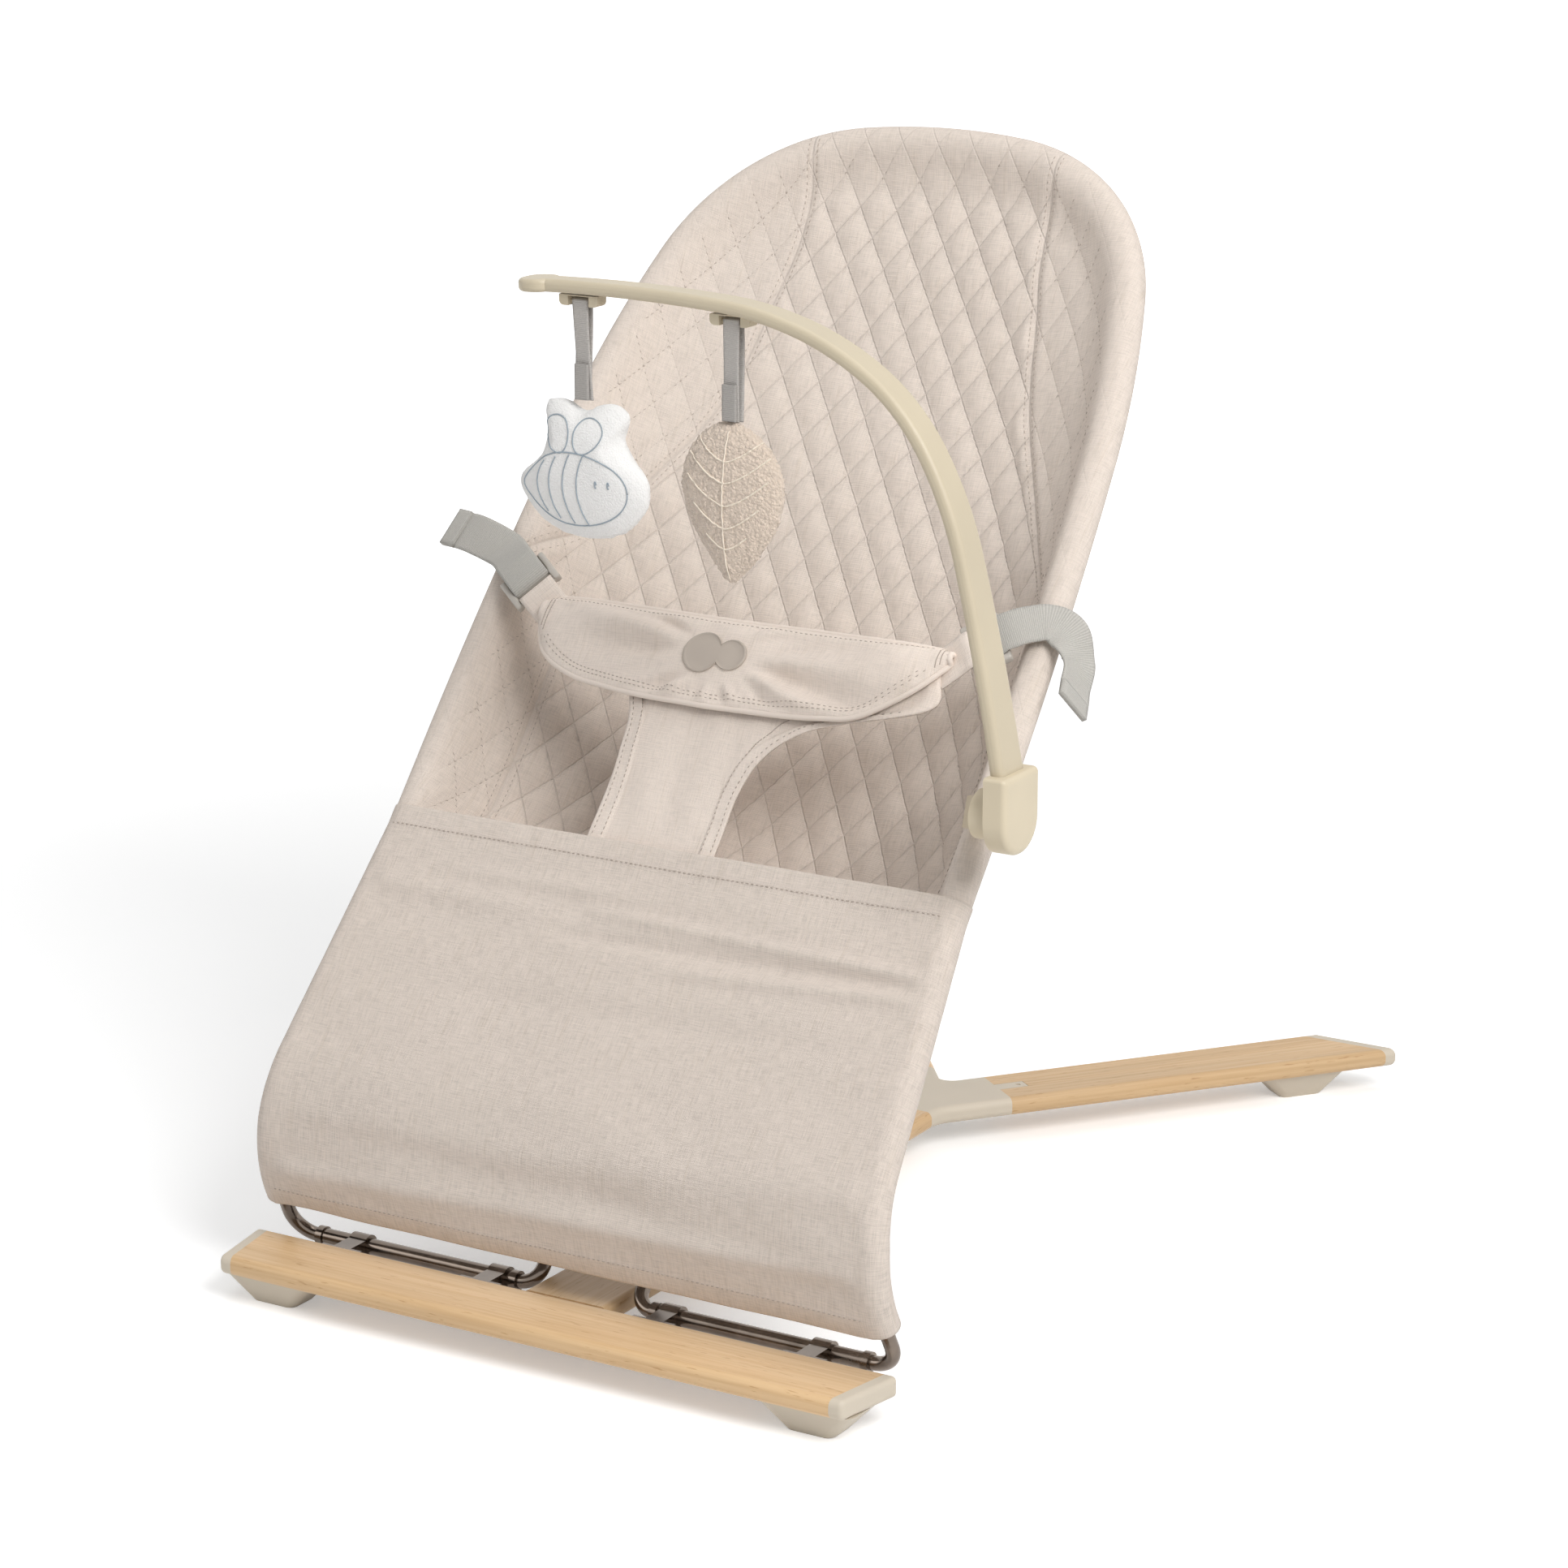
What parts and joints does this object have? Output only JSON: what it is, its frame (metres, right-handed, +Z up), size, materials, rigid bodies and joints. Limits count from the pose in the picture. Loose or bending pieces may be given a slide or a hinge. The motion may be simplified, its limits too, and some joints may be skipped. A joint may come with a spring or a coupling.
{
  "type": "baby bouncer seat",
  "caption": "Folding baby bouncer with a quilted sling seat on a bent rod frame, wooden floor base, waist and crotch restraint, and a tilting toy bar with two hanging plush toys.",
  "frame": {"origin": "floor plane under the middle of the whole object's footprint", "axes": "+Y from the foot bar towards the head end, +X to the sitter's left, +Z up"},
  "size_m": [0.4697, 0.705, 0.649],
  "materials": {
    "beech": "satin",
    "beige_plastic": "matt",
    "toy_bar_plastic": "matt",
    "dark_steel": "gloss",
    "screw_steel": "satin",
    "seat_fabric": "matt",
    "panel_fabric": "matt",
    "patch_rubber": "matt",
    "webbing": "matt",
    "ribbon": "matt",
    "bee_plush": "matt",
    "leaf_terry": "matt"
  },
  "bodies": {
    "base": {"clip_screws": "screw_steel", "foot_screws": "screw_steel", "front_bar": "beech", "front_bar_cap_left": "beige_plastic", "front_bar_cap_right": "beige_plastic", "front_foot_left": "beige_plastic", "front_foot_right": "beige_plastic", "hub": "beige_plastic", "leg_insert_left": "dark_steel", "leg_insert_right": "dark_steel", "rear_foot_left": "beige_plastic", "rear_foot_right": "beige_plastic", "rear_leg_cap_left": "beige_plastic", "rear_leg_cap_right": "beige_plastic", "rear_leg_left": "beech", "rear_leg_right": "beech", "spine": "beech", "spine_dowels": "beech", "tube_clip_inner_left": "dark_steel", "tube_clip_inner_right": "dark_steel", "tube_clip_outer_left": "dark_steel", "tube_clip_outer_right": "dark_steel"},
    "pivot_tubes": {"pivot_tube_left": "dark_steel", "pivot_tube_right": "dark_steel", "tube_collars": "dark_steel"},
    "seat": {"outer_rail": "dark_steel", "support_loop": "dark_steel", "loop_channel": "seat_fabric", "rail_cover": "seat_fabric", "leg_panel": "panel_fabric", "seat_shell": "seat_fabric", "crotch_strap": "panel_fabric", "waist_flap": "panel_fabric", "flap_patch": "patch_rubber", "side_web_left": "webbing", "side_web_right": "webbing", "strap_slider_left": "beige_plastic", "strap_slider_right": "beige_plastic", "toy_bar_clamp": "beige_plastic", "toy_bar_pin": "screw_steel"},
    "toy_bar": {"toy_bar_socket": "toy_bar_plastic", "toy_bar_arch": "toy_bar_plastic", "toy_hanger_bee": "toy_bar_plastic", "toy_hanger_leaf": "toy_bar_plastic"},
    "bee": {"bee_ribbon": "ribbon", "bee_toy": "bee_plush"},
    "leaf": {"leaf_ribbon": "ribbon", "leaf_toy": "leaf_terry"},
    "release_button_left": {"release_button_left": "beige_plastic"},
    "release_button_right": {"release_button_right": "beige_plastic"}
  },
  "joints": [
    {"name": "seat_fold", "type": "hinge", "parent": "base", "child": "pivot_tubes", "pos_m": [0, -0.2825, 0.023], "axis": [1, 0, 0], "range_deg": [-42, 0]},
    {"name": "seat_bounce", "type": "hinge", "parent": "pivot_tubes", "child": "seat", "pos_m": [0, -0.2825, 0.023], "axis": [1, 0, 0], "range_deg": [-3, 3], "stiffness_Nm_per_rad": 150, "springref_deg": 0.99},
    {"name": "toy_bar_tilt", "type": "hinge", "parent": "seat", "child": "toy_bar", "pos_m": [0.2226, -0.2015, 0.323], "axis": [1, 0, 0], "range_deg": [-10, 70]},
    {"name": "bee_swing", "type": "hinge", "parent": "toy_bar", "child": "bee", "pos_m": [-0.048, -0.2015, 0.58478], "axis": [1, 0, 0], "range_deg": [-35, 35]},
    {"name": "leaf_swing", "type": "hinge", "parent": "toy_bar", "child": "leaf", "pos_m": [0.052, -0.2015, 0.58192], "axis": [1, 0, 0], "range_deg": [-35, 35]},
    {"name": "release_button_left", "type": "slide", "parent": "base", "child": "release_button_left", "axis": [0, 0, -1], "range_m": [0, 0.002], "stiffness_N_per_m": 500},
    {"name": "release_button_right", "type": "slide", "parent": "base", "child": "release_button_right", "axis": [0, 0, -1], "range_m": [0, 0.002], "stiffness_N_per_m": 500}
  ]
}
